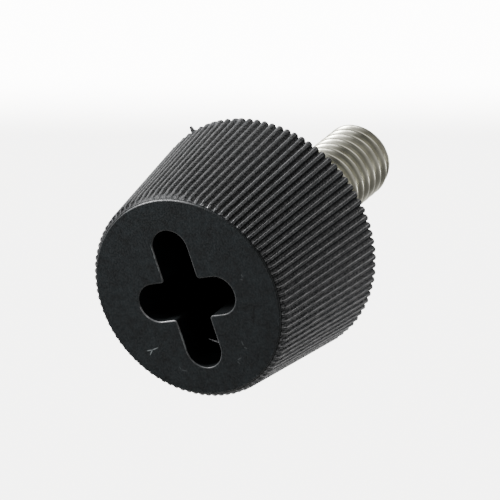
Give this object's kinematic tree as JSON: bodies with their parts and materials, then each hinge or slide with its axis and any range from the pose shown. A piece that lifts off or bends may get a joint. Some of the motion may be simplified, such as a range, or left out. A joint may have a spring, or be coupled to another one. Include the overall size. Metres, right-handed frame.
{
  "type": "thumb screw",
  "caption": "Thumb screw with a finely ribbed, tapered plastic knob, a deep cross recess in its small face and a threaded steel stud.",
  "frame": {"origin": "centre of the small face, on which the screw stands", "axes": "+Z along the stud, from the small face towards the stud's tip; Y along the long slot of the cross recess, X along the short slot"},
  "size_m": [0.0194, 0.0194, 0.0285],
  "materials": {
    "knob_plastic": "black moulded plastic, satin to matt, sandy texture on the ribs",
    "stud_steel": "bright zinc-plated steel with a rolled thread"
  },
  "bodies": {
    "root": {"knob": "knob_plastic", "stud": "stud_steel"}
  },
  "joints": []
}
